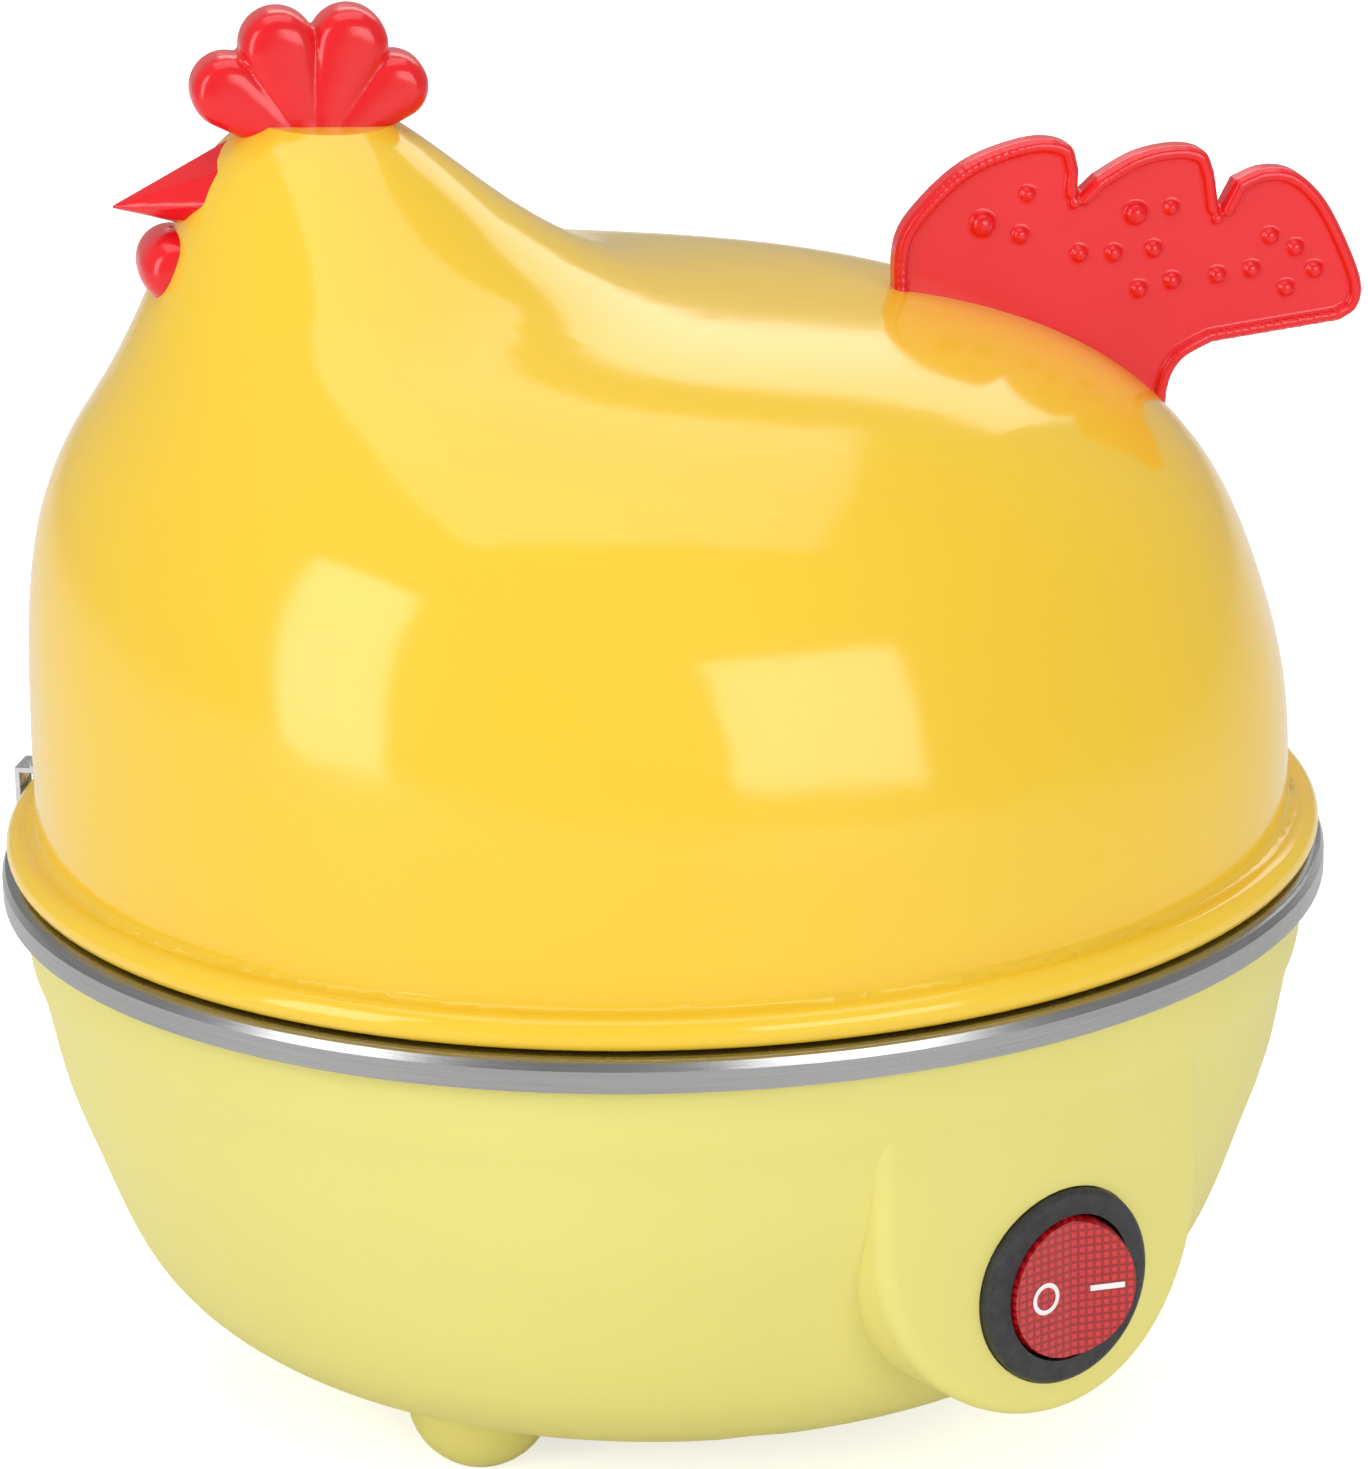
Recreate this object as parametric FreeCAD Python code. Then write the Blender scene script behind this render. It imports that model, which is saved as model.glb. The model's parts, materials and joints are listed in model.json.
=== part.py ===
"""Hen-shaped egg cooker: a steaming base, a lift-out egg tray and a hinged hen-shaped lid.

Millimetres, +Z up.  The hen looks along -X.  Shapes are drawn about the vertical axis of the
bowl, and save() shifts them so that the origin is at the middle of the footprint box, on the table.
Angles round the axis are in degrees from -Y (the front), positive toward +X.
"""
import FreeCAD
import Part
import math
import os

from FreeCAD import Vector

# ---------------------------------------------------------------- driving dimensions
ring_radius = 80.0            # outside of the rolled steel rim
rim_top = 68.0                # top of the rolled rim above the table
rim_drop = 3.8                # height of the rolled rim
sheet = 0.8                   # stainless sheet of the pan
bowl_wall = 2.4
bowl_radius = 77.4            # upper, straight part of the bowl
bowl_floor = 5.0              # underside of the bowl above the table
lid_wall = 2.3
lid_radius = 75.6             # lid wall just above its flange
lid_foot = 79.0               # height where the round wall turns into the hen's body
flange_radius = 79.3
flange_top = 72.2
flange_cove = 1.4             # radius of the hollow between flange and wall
cove_bite = 0.15              # how far the hollow runs into the wall
flange_seat = 68.3            # underside of the lid flange, just clear of the rim
tail_reach = 86.8             # tip of the tail from the axis
running_gap = 0.3             # between pieces that move past each other
pin_fit = 0.05                # radial play of pins and pivots
screw_fit = 0.1               # radial play of screws in their holes

# feet
foot_ball = 8.8
foot_circle = 40.0
foot_angles = [-135.0, -45.0, 90.0]
foot_flat = 0.9               # cut off the ball to give a pad

# pan and tray
pan_floor = 50.0
pan_floor_radius = 62.0
pan_shoulder_radius = 70.2
pan_shoulder = 59.0
pan_wall_radius = 74.2        # inside of the pan above the shoulder
tray_sheet = 1.2
tray_deck = 71.0
tray_deck_radius = 65.6
tray_rim_radius = 68.6
egg_hole = 18.0               # radius
egg_circle = 46.0
egg_count = 6                 # round the middle one
lug_height = 16.0
lug_width = 18.0
lug_sheet = 2.0

# heater
spreader_radius = 42.0
spreader_thick = 4.0
element_radius = 3.2
element_circle = 32.0
element_gap = 34.0            # half the opening of the C, degrees
element_pin = 1.2
element_pin_drop = 9.0
standoff_radius = 4.0
standoff_circle = 52.0
standoff_length = 9.0
standoff_count = 3
standoff_first = 0.0
boss_wall = 2.2
pan_screw_radius = 2.0
pan_screw_head = 3.6

# switch
switch_angle = 26.0
switch_height = 33.0
panel_hole = 10.1
bezel_radius = 11.6
bezel_thick = 2.0
housing_radius = 10.0
housing_depth = 15.0
housing_wall = 1.3
rocker_ball = 8.4
rocker_pivot_depth = 1.5      # pivot line behind the front of the bezel
rocker_half_angle = 11.0
rocker_proud = 0.4            # pressed half above the bezel
rocker_leg = 5.0
pivot_radius = 1.0
pivot_length = 1.0

# apron that carries the switch
apron_radius = 76.6
apron_half_width = 23.2
apron_centre = 40.5
apron_edge = 2.2
seat_margin = 1.0

# cord gland
gland_angle = 180.0
gland_height = 26.0
gland_bore = 3.5
gland_tube = 5.6
gland_flange = 9.0
gland_flange_thick = 3.0
gland_land = 72.0             # distance of the flat land from the axis
gland_length = 18.5
gland_boss_depth = 13.5
gland_nut_thick = 4.0

# bottom cover
cover_radius = 29.5
cover_thick = 2.2
cover_screw_circle = 24.5
cover_screw_count = 3
small_screw = 1.5
small_head = 2.8

# hinge
hinge_angle = -110.2
hinge_radius = 79.4           # pin line from the axis
hinge_height = 61.2
hinge_pin_radius = 0.6
knuckle_radius = 1.3
knuckle_length = 5.0          # middle one, on the lid
outer_knuckle = 2.5           # each of the two on the base
leaf_sheet = 0.6
leaf_gap = 0.05               # between the lid's wall and its leaf
lid_leaf_half = 6.9           # half the angle that the lid leaf spans, degrees
lid_leaf_height = 4.3
base_leaf_half = 6.0
base_leaf_low = 51.5
base_leaf_screw_height = 55.0
base_leaf_screw_angle = 3.4
rivet_radius = 0.8
rivet_head = 1.5
rivet_angle = 5.2
rivet_height = 74.9

# hen
comb_thick = 9.6
comb_edge = 2.2
tail_thick = 4.4
tail_border = 1.6
tail_recess = 0.9
trim_screw = 1.2
trim_head = 2.4
trim_boss = 3.6
beak_height = 148.4

# wiring
lead_radius = 1.1
block_length = 26.0
block_depth = 9.0
block_height = 11.0
block_ways = [-8.5, 0.0, 8.5]
block_screw_place = 4.25
block_screw_bite = 3.5
block_way_height = 5.0

# Lid body: tilted rings from the front point to the rear point, with half-widths across the hen.
lid_rings = [
    # front x, front z, rear x, rear z, half width
    (-75.6, 79.0, 75.6, 79.0, 75.6),
    (-75.4, 90.0, 74.6, 89.5, 75.2),
    (-74.9, 99.5, 71.6, 100.5, 73.6),
    (-73.3, 109.5, 65.4, 113.5, 69.8),
    (-70.0, 118.0, 52.5, 125.0, 62.6),
    (-65.6, 125.0, 33.0, 132.4, 52.4),
    (-61.4, 132.5, 12.6, 135.4, 41.0),
    (-58.2, 139.5, -3.0, 138.6, 30.6),
    (-55.2, 146.5, -14.8, 145.2, 22.6),
    (-51.4, 153.0, -22.8, 151.6, 16.0),
    (-45.6, 157.6, -29.6, 156.8, 9.4),
]
points_per_ring = 20

# Outside of the bowl from its flat underside to the straight wall: radius, height.
bowl_knots = [
    (30.0, bowl_floor), (41.0, 6.2), (51.0, 9.5), (59.0, 13.9), (64.6, 19.6), (68.0, 26.2),
    (71.0, 34.5), (74.0, 43.5), (76.1, 53.5), (bowl_radius, 62.5)]

Z = Vector(0, 0, 1)
shift = Vector((ring_radius - tail_reach) / 2.0, 0, 0)


# ---------------------------------------------------------------- helpers
def save(name, shape):
    """Write one node in the object's own frame."""
    moved = shape.copy()
    moved.translate(shift)
    if not moved.isValid():
        print("not valid:", name)
    moved.exportStep("parts/%s.step" % name)
    print("%-20s solids %2d  volume %10.1f" % (name, len(moved.Solids), moved.Volume))


def polar(radius, angle, height=0.0):
    a = math.radians(angle)
    return Vector(radius * math.sin(a), -radius * math.cos(a), height)


def outward(angle):
    return polar(1.0, angle)


def cylinder(radius, start, end):
    axis = end - start
    return Part.makeCylinder(radius, axis.Length, start, axis)


def upright(radius, x, y, low, high):
    return Part.makeCylinder(radius, high - low, Vector(x, y, low))


def revolve(points):
    """Turn a closed outline of (radius, height) points about the axis."""
    outline = [Vector(r, 0, z) for r, z in points]
    face = Part.Face(Part.makePolygon(outline + outline[:1]))
    return face.revolve(Vector(0, 0, 0), Z, 360)


def group(shapes):
    return Part.makeCompound(shapes)


def local(shape, angle, radius=0.0, height=0.0):
    """Place a shape drawn with +X outward, +Y along the tangent, at an angle round the axis."""
    placed = shape.copy()
    placed.rotate(Vector(0, 0, 0), Z, angle - 90.0)
    placed.translate(polar(radius, angle, height))
    return placed


def tube(points, radius):
    """A lead: straight runs joined by tangent arcs as large as the runs allow."""
    knots = [Vector(*p) for p in points]
    edges = []
    at = knots[0]
    for i in range(1, len(knots) - 1):
        before = knots[i - 1] - knots[i]
        after = knots[i + 1] - knots[i]
        back = 0.45 * min(before.Length, after.Length)
        before.normalize()
        after.normalize()
        start = knots[i] + before * back
        end = knots[i] + after * back
        bisector = before + after
        bisector.normalize()
        half = before.getAngle(bisector)
        bend = back * math.tan(half)
        middle = knots[i] + bisector * (bend / math.sin(half) - bend)
        edges.append(Part.LineSegment(at, start).toShape())
        edges.append(Part.Arc(start, middle, end).toShape())
        at = end
    edges.append(Part.LineSegment(at, knots[-1]).toShape())
    path = Part.Wire(edges)
    section = Part.Wire(Part.makeCircle(radius, knots[0], knots[1] - knots[0]))
    return path.makePipeShell([section], True, False)


def surface_height(solid, x, y=0.0):
    """Height of the top of a solid on a vertical line."""
    line = Part.makeLine(Vector(x, y, 60), Vector(x, y, 260))
    return line.common(solid).BoundBox.ZMax


def surface_front(solid, z):
    """The -X-most place of a solid on a level line through its middle plane."""
    line = Part.makeLine(Vector(-120, 0, z), Vector(0, 0, z))
    return line.common(solid).BoundBox.XMin


def pan_head_screw(radius, head, tip, seat, axis):
    """Screw with its head against seat, its shank along axis to a length of tip."""
    shank = Part.makeCylinder(radius, tip, seat, axis)
    cap = Part.makeCylinder(head, head * 0.6, seat - axis * (head * 0.6), axis)
    return shank.fuse(cap)


# ---------------------------------------------------------------- lid body
def ring_points(front, rear, half_width):
    """Points of a closed ring through a front and a rear point of the middle plane."""
    centre = (front + rear) * 0.5
    along = (front - rear) * 0.5
    points = []
    for i in range(points_per_ring):
        a = 2 * math.pi * i / points_per_ring
        points.append(centre + along * math.cos(a) + Vector(0, half_width * math.sin(a), 0))
    return points


def inset_line(points, inset, side):
    """Move a run of points sideways in the middle plane, along its own normal."""
    moved = []
    for i, p in enumerate(points):
        along = points[min(i + 1, len(points) - 1)] - points[max(i - 1, 0)]
        if p.z <= lid_foot:
            along = Vector(0, 0, 1)
        along.normalize()
        moved.append(p + Vector(along.z, 0, -along.x) * (inset * side))
    return moved


def skin(rings):
    """Smooth closed solid through a stack of rings, flat at both ends."""
    rows = []
    for ring in rings:
        curve = Part.BSplineCurve()
        curve.interpolate(Points=ring, PeriodicFlag=True, Parameters=list(range(len(ring) + 1)))
        rows.append(curve)
    steps = [0.0]
    for lower, upper in zip(rings, rings[1:]):
        gap = sum(p.distanceToPoint(q) for p, q in zip(lower, upper)) / len(lower)
        steps.append(steps[-1] + gap)
    columns = []
    for j in range(rows[0].NbPoles):
        line = Part.BSplineCurve()
        line.interpolate(Points=[row.getPole(j + 1) for row in rows], Parameters=steps)
        columns.append(line)
    surface = Part.BSplineSurface()
    surface.buildFromPolesMultsKnots(
        [line.getPoles() for line in columns],
        rows[0].getMultiplicities(), columns[0].getMultiplicities(),
        rows[0].getKnots(), columns[0].getKnots(), True, False, 3, 3)
    side = surface.toShape()
    ends = []
    for edge in side.Edges:
        if edge.isClosed() and not edge.isSeam(side):
            ends.append(Part.Face(Part.Wire(edge)))
    shell = Part.makeShell([side] + ends)
    shell.sewShape()
    solid = Part.makeSolid(shell)
    if solid.Volume < 0:
        solid.reverse()
    return solid


def hen_body(inset, count, low):
    """The hen's body from a level face at low, up through the first rings."""
    straight = (-lid_radius, lid_radius, lid_radius)
    rows = [(straight[0], z, straight[1], z, straight[2]) for z in (low, (low + lid_foot) / 2.0)]
    rows = rows + lid_rings[:count]
    fronts = inset_line([Vector(r[0], 0, r[1]) for r in rows], inset, 1.0)
    rears = inset_line([Vector(r[2], 0, r[3]) for r in rows], inset, -1.0)
    return skin([ring_points(f, r, row[4] - inset) for f, r, row in zip(fronts, rears, rows)])


def lid_outside():
    """Everything inside the outer skin of the lid, without the flange."""
    return hen_body(0.0, len(lid_rings), flange_seat)


def lid_hollow():
    low = flange_seat - 6.0
    inside = lid_radius - lid_wall
    foot = revolve([
        (0, low), (inside, low), (inside, flange_seat + 2.0), (inside - 0.2, flange_seat + 6.0),
        (0, flange_seat + 6.0)])
    return foot.fuse(hen_body(lid_wall, len(lid_rings) - 1, flange_seat + 5.0)).removeSplitter()


def lid_flange():
    """Rounded lip that covers the rim, and a cove up to the wall."""
    half = (flange_top - flange_seat) / 2.0
    lip = flange_radius - half
    cove = flange_cove
    bend = cove * (1.0 - math.sqrt(0.5))
    wall = lid_radius - cove_bite
    inside = lid_radius - lid_wall

    def at(radius, height):
        return Vector(radius, 0, height)

    corners = [at(wall, flange_top + cove), at(inside, flange_top + cove), at(inside, flange_seat),
               at(lip, flange_seat)]
    edges = [Part.LineSegment(p, q).toShape() for p, q in zip(corners, corners[1:])]
    edges.append(Part.Arc(corners[-1], at(flange_radius, flange_seat + half), at(lip, flange_top)).toShape())
    edges.append(Part.LineSegment(at(lip, flange_top), at(wall + cove, flange_top)).toShape())
    edges.append(Part.Arc(at(wall + cove, flange_top), at(wall + bend, flange_top + bend),
                          corners[0]).toShape())
    return Part.Face(Part.Wire(edges)).revolve(Vector(0, 0, 0), Z, 360)


def trim_bosses(outside, hollow):
    """Bosses inside the lid for the screws of comb, tail and beak, with each screw's seat."""
    bosses = []
    seats = []
    for x in comb_screw_x + tail_screw_x:
        seat = surface_height(hollow, x) - 3.0
        bosses.append(upright(trim_boss, x, 0, seat, seat + 14.0).common(outside))
        seats.append(Vector(x, 0, seat))
    inside = surface_front(hollow, beak_height) + 3.0
    bosses.append(cylinder(trim_boss, Vector(inside, 0, beak_height),
                           Vector(inside - 12, 0, beak_height)).common(outside))
    seats.append(Vector(inside, 0, beak_height))
    return bosses, seats


comb_screw_x = [-42.0, -32.5]
tail_screw_x = [40.0, 54.0]


def lid_shell(outside, hollow, bosses, seats):
    shell = outside.fuse(lid_flange()).cut(hollow)
    for boss in bosses:
        shell = shell.fuse(boss)
    for seat in seats[:-1]:
        shell = shell.cut(upright(trim_screw + screw_fit, seat.x, 0, seat.z - 1, seat.z + 30))
    hole = seats[-1]
    shell = shell.cut(cylinder(trim_screw + screw_fit, hole, hole - Vector(20, 0, 0)))
    for side in (-1, 1):
        angle = hinge_angle + side * rivet_angle
        shell = shell.cut(cylinder(rivet_radius + screw_fit, polar(lid_radius - 6, angle, rivet_height),
                                   polar(lid_radius + 3, angle, rivet_height)))
    return shell.removeSplitter()


# ---------------------------------------------------------------- hen trim
def outline_prism(points, thick):
    """Plate in the hen's middle plane; an outline of (x, z) points, joined by a smooth curve
    between corners, where a corner is a point given with a third value."""
    spans = []
    run = [points[0]]
    for p in points[1:] + points[:1]:
        run.append(p)
        if len(p) == 3:
            spans.append(run)
            run = [p]
    edges = []
    for span in spans:
        knots = [Vector(p[0], -thick / 2.0, p[1]) for p in span]
        if len(knots) == 2:
            edges.append(Part.LineSegment(knots[0], knots[1]).toShape())
        else:
            curve = Part.BSplineCurve()
            curve.interpolate(knots)
            edges.append(curve.toShape())
    return Part.Face(Part.Wire(edges)).extrude(Vector(0, thick, 0))


# Lobes of the comb from front to back, then the web that joins them.
comb_lobes = [
    # x, z, radius
    (-49.3, 161.9, 4.1), (-42.9, 166.4, 4.3), (-34.7, 166.3, 4.3), (-29.2, 161.4, 3.8),
    (-39.4, 157.0, 9.0)]

# Corner points carry a third value, and the outline starts at a corner.
tail_outline = [
    (29.2, 131.0, 0), (29.7, 138.8), (33.0, 143.6), (38.6, 148.0), (46.0, 150.2), (50.6, 149.4),
    (51.8, 146.4, 0), (51.6, 143.1, 0), (53.9, 145.2, 0), (58.8, 147.7), (63.8, 148.5), (67.2, 147.6),
    (68.4, 145.0, 0), (69.0, 140.2, 0), (71.0, 143.9, 0), (74.5, 145.1), (78.3, 144.5), (81.8, 141.3),
    (84.6, 136.2), (86.7, 130.6), (86.2, 127.4), (84.0, 125.9, 0), (68.1, 124.2, 0), (64.4, 122.2),
    (62.7, 118.7), (62.6, 113.0, 0), (50.0, 120.0, 0)]

tail_studs = [
    # x, z, radius: two large ones and the small ones between them
    (40.0, 140.4, 1.5), (58.7, 140.6, 1.4), (45.5, 143.7, 0.7), (44.6, 138.8, 0.8), (63.1, 141.0, 0.7),
    (51.8, 136.1, 0.8), (56.0, 135.9, 0.8), (60.9, 136.1, 0.8), (59.1, 131.3, 0.8), (63.2, 132.1, 0.8),
    (68.8, 132.4, 0.8), (73.0, 132.9, 0.8), (75.3, 136.8, 0.8), (78.4, 135.2, 0.8), (80.8, 132.4, 0.8),
    (77.3, 130.3, 0.8)]


def comb(outside):
    """Soft-edged lobes side by side on a web, cut to sit on the hen's head."""
    body = None
    for x, z, radius in comb_lobes:
        lobe = Part.makeCylinder(radius, comb_thick, Vector(x, -comb_thick / 2.0, z), Vector(0, 1, 0))
        rims = [e for e in lobe.Edges if e.BoundBox.YLength < 0.01]
        lobe = lobe.makeFillet(comb_edge, rims)
        body = lobe if body is None else body.fuse(lobe)
    return body.cut(outside)


def tail(outside):
    """Tail plate with a raised border and domed studs on both recessed faces."""
    plate = outline_prism(tail_outline, tail_thick)
    corners = [Vector(p[0], -tail_thick / 2.0, p[1]) for p in tail_outline]
    border = Part.makePolygon(corners + corners[:1]).makeOffset2D(-tail_border)
    pocket = Part.Face(border).extrude(Vector(0, tail_recess, 0))
    other = pocket.copy()
    other.translate(Vector(0, tail_thick - tail_recess, 0))
    plate = plate.cut(pocket).cut(other)
    floor = tail_thick / 2.0 - tail_recess
    for x, z, radius in tail_studs:
        reach = floor + radius * 0.5
        plate = plate.fuse(cylinder(radius, Vector(x, -reach, z), Vector(x, reach, z)))
    return plate.cut(outside)


def beak(outside):
    """Beak with the wattle below it, one moulding."""
    back = -46.0
    tip = Vector(-63.2, 0, 148.3)
    corners = [Vector(back, 0, 155.4), Vector(back, -8.6, 149.4), Vector(back, 0, 143.4),
               Vector(back, 8.6, 149.4)]
    base = Part.makePolygon(corners + corners[:1])
    faces = [Part.Face(base)]
    for i in range(4):
        side = [corners[i], corners[(i + 1) % 4], tip, corners[i]]
        faces.append(Part.Face(Part.makePolygon(side)))
    cone = Part.Solid(Part.Shell(faces))
    lobe = Part.makeSphere(5.0, Vector(-55.2, 0, 141.2), Vector(0, 1, 0))
    tab = upright(1.6, -56.4, 0, 133.4, 139)
    return cone.fuse(lobe).fuse(tab).cut(outside)


def trim_screws(seats):
    """Comb, tail and beak screws, driven from inside the lid."""
    comb_set = [pan_head_screw(trim_screw, trim_head, 10.5, s, Z) for s in seats[:2]]
    tail_set = [pan_head_screw(trim_screw, trim_head, 10.5, s, Z) for s in seats[2:4]]
    beak_set = pan_head_screw(trim_screw, trim_head, 10.5, seats[4], Vector(-1, 0, 0))
    return comb_set, tail_set, beak_set


def drilled(piece, seats):
    """Blind holes for the screws that hold a trim piece."""
    for seat, axis in seats:
        piece = piece.cut(Part.makeCylinder(trim_screw, 10.5, seat, axis))
    return piece


# ---------------------------------------------------------------- base bowl
def bowl_solid(inset):
    """Everything inside the bowl's outer skin, moved inward by inset."""
    knots = [Vector(r, 0, z) for r, z in bowl_knots]
    moved = []
    for i, p in enumerate(knots):
        along = knots[min(i + 1, len(knots) - 1)] - knots[max(i - 1, 0)]
        if i == 0:
            along = Vector(1, 0, 0)
        if i == len(knots) - 1:
            along = Vector(0, 0, 1)
        along.normalize()
        moved.append(p + Vector(-along.z, 0, along.x) * inset)
    curve = Part.BSplineCurve()
    curve.interpolate(moved, InitialTangent=Vector(1, 0, 0), FinalTangent=Vector(0, 0, 1))
    top = rim_top - sheet
    low = Vector(0, 0, moved[0].z)
    wall = moved[-1]
    corner = Vector(wall.x, 0, top + abs(inset) * 4)
    edges = [
        Part.LineSegment(low, moved[0]).toShape(), curve.toShape(),
        Part.LineSegment(wall, corner).toShape(),
        Part.LineSegment(corner, Vector(0, 0, corner.z)).toShape(),
        Part.LineSegment(Vector(0, 0, corner.z), low).toShape()]
    return Part.Face(Part.Wire(edges)).revolve(Vector(0, 0, 0), Z, 360)


def u_prism(half_width, inner, outer):
    """U-shaped bar along the switch direction: round below, straight above."""
    top = rim_top - 6.0
    slab = Part.makeBox(outer - inner, 2 * half_width, top - apron_centre,
                        Vector(inner, -half_width, apron_centre))
    round_end = Part.makeCylinder(half_width, outer - inner, Vector(inner, 0, apron_centre), Vector(1, 0, 0))
    return local(slab.fuse(round_end).removeSplitter(), switch_angle)


def apron_block():
    """Switch apron: part of a cylinder coaxial with the bowl, with a rounded lower edge."""
    block = u_prism(apron_half_width, 40.0, 90.0).common(upright(apron_radius, 0, 0, 0, rim_top))
    rim = []
    for edge in block.Edges:
        middle = edge.valueAt((edge.FirstParameter + edge.LastParameter) / 2.0)
        on_face = abs(math.hypot(middle.x, middle.y) - apron_radius) < 0.05
        if on_face and edge.BoundBox.ZMin < rim_top - 6.5:
            rim.append(edge)
    return block.makeFillet(apron_edge, rim)


def foot_centres():
    return [polar(foot_circle, angle) for angle in foot_angles]


def standoff_places():
    return [polar(standoff_circle, standoff_first + 360.0 / standoff_count * i)
            for i in range(standoff_count)]


def cover_places():
    return [polar(cover_screw_circle, 30.0 + 360.0 / cover_screw_count * i)
            for i in range(cover_screw_count)]


def switch_seat():
    """Distance of the flat seat of the bezel from the axis."""
    return math.sqrt(apron_radius ** 2 - (bezel_radius + seat_margin) ** 2)


def base_bowl():
    body = bowl_solid(0.0)
    body = body.fuse(apron_block())
    for centre in foot_centres():
        ball = Part.makeSphere(foot_ball, centre + Z * (foot_ball - foot_flat))
        body = body.fuse(ball)
    body = body.common(upright(ring_radius, 0, 0, 0, rim_top - sheet))
    inside = bowl_solid(bowl_wall)
    pocket = u_prism(apron_half_width - bowl_wall, 45.0, 90.0)
    pocket = pocket.common(upright(apron_radius - bowl_wall - 0.6, 0, 0, 0, rim_top - 6.0 - bowl_wall))
    body = body.cut(inside.fuse(pocket))

    # bosses for the pan screws
    for place in standoff_places():
        boss = upright(pan_screw_head + boss_wall, place.x, place.y, bowl_floor + 2,
                       pan_floor - sheet - standoff_length)
        body = body.fuse(boss.common(bowl_solid(0.2)))
        body = body.cut(upright(pan_screw_radius + screw_fit, place.x, place.y, 0, pan_floor))
        body = body.cut(upright(pan_screw_head + 0.4, place.x, place.y, 0, pan_screw_seat()))

    # opening and bosses for the bottom cover
    body = body.cut(upright(cover_radius - 3.0, 0, 0, 0, bowl_floor + bowl_wall + 1))
    body = body.cut(upright(cover_radius + screw_fit, 0, 0, 0, bowl_floor + cover_thick / 2.0))
    for place in cover_places():
        lug = upright(4.0, place.x, place.y, bowl_floor + cover_thick / 2.0, bowl_floor + 10.0)
        bridge = Part.makeBox(8.0, 8.0, 3.0, Vector(0, -4.0, bowl_floor + bowl_wall - 1.2))
        angle = math.degrees(math.atan2(place.x, -place.y))
        body = body.fuse(local(bridge, angle, cover_screw_circle)).fuse(lug)
        body = body.cut(upright(small_screw, place.x, place.y, 0, bowl_floor + 9.0))

    # terminal block pad
    block = block_centre()
    pad = Part.makeBox(block_depth, block_length, 4.0, Vector(-block_depth / 2, -block_length / 2, -4.0))
    body = body.fuse(local(pad, gland_angle, block.Length, block_base()))
    bite = upright(small_screw, 0, block_screw_place, -block_screw_bite, 1.0)
    body = body.cut(local(bite, gland_angle, block.Length, block_base()))

    # flat seat and hole for the switch, land and hole for the gland
    seat = switch_seat()
    centre = polar(seat, switch_angle, switch_height)
    body = body.cut(Part.makeCylinder(bezel_radius + 0.15, 20.0, centre, outward(switch_angle)))
    body = body.cut(Part.makeCylinder(panel_hole, 20.0, centre - outward(switch_angle) * 10,
                                      outward(switch_angle)))
    away = outward(gland_angle)
    land = Part.makeCylinder(gland_flange + 1.0, gland_boss_depth,
                             polar(gland_nut_face(), gland_angle, gland_height), away)
    body = body.fuse(land)
    body = body.cut(Part.makeCylinder(gland_tube + screw_fit, 30.0,
                                      polar(gland_land - 20.0, gland_angle, gland_height), away))

    # screw holes of the hinge leaf
    for start, away in base_leaf_screw_places():
        body = body.cut(Part.makeCylinder(small_screw, 6.0, start - away * 6.0, away))
    return body.removeSplitter()


def pan_screw_seat():
    return bowl_floor + 9.0


def base_leaf_screw_places():
    """Seat and outward direction of each screw of the base leaf."""
    radius = bowl_radius - 0.2 + leaf_sheet
    places = []
    for side in (-1, 1):
        angle = hinge_angle + side * base_leaf_screw_angle
        places.append((polar(radius, angle, base_leaf_screw_height), outward(angle)))
    return places


def base_cover():
    plate = upright(cover_radius, 0, 0, bowl_floor - cover_thick / 2.0, bowl_floor + cover_thick / 2.0)
    for place in cover_places():
        plate = plate.cut(upright(small_screw + screw_fit, place.x, place.y, 0, bowl_floor + 5))
    for i in range(5):
        y = (i - 2) * 6.0
        slot = Part.makeBox(20.0, 2.0, 10.0, Vector(-10.0, y - 1.0, 0))
        plate = plate.cut(slot)
    return plate


def cover_screws():
    screws = []
    for place in cover_places():
        seat = Vector(place.x, place.y, bowl_floor - cover_thick / 2.0)
        screws.append(pan_head_screw(small_screw, small_head, 9.0, seat, Z))
    return group(screws)


# ---------------------------------------------------------------- pan and heater
def heating_pan():
    """Water pan with a shoulder for the tray and a rolled rim that covers the bowl's edge."""
    t = sheet
    inner = pan_wall_radius
    bend = 1.3
    low = pan_floor - t
    side = pan_floor_radius + 2.4
    return revolve([
        (0, low), (pan_floor_radius, low), (pan_floor_radius + 1.8, low + 1.2), (side, pan_shoulder - t),
        (pan_shoulder_radius + t * 0.5, pan_shoulder - t), (inner - 0.6 + t, pan_shoulder + 5.0),
        (inner + t, pan_shoulder + 7.4), (inner + t, rim_top - t),
        (ring_radius - t, rim_top - t), (ring_radius - t, rim_top - rim_drop),
        (ring_radius, rim_top - rim_drop), (ring_radius, rim_top - bend),
        (ring_radius - bend * 0.3, rim_top - bend * 0.3), (ring_radius - bend, rim_top),
        (inner + 0.6, rim_top),
        (inner, rim_top - 0.6), (inner, pan_shoulder + 7.6), (inner - 0.6, pan_shoulder + 5.4),
        (pan_shoulder_radius, pan_shoulder), (side - t, pan_shoulder),
        (pan_floor_radius + 1.8 - t, pan_floor + 0.8), (pan_floor_radius - 0.6, pan_floor), (0, pan_floor)])


def standoffs():
    """Threaded studs welded under the pan."""
    parts = []
    for place in standoff_places():
        high = pan_floor - sheet
        body = upright(standoff_radius, place.x, place.y, high - standoff_length, high)
        parts.append(body.cut(upright(pan_screw_radius, place.x, place.y, 0, high - 1.5)))
    return group(parts)


def pan_screws():
    screws = []
    for place in standoff_places():
        seat = Vector(place.x, place.y, pan_screw_seat())
        tip = pan_floor - sheet - 2.5 - pan_screw_seat()
        screws.append(pan_head_screw(pan_screw_radius, pan_screw_head, tip, seat, Z))
    return group(screws)


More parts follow.
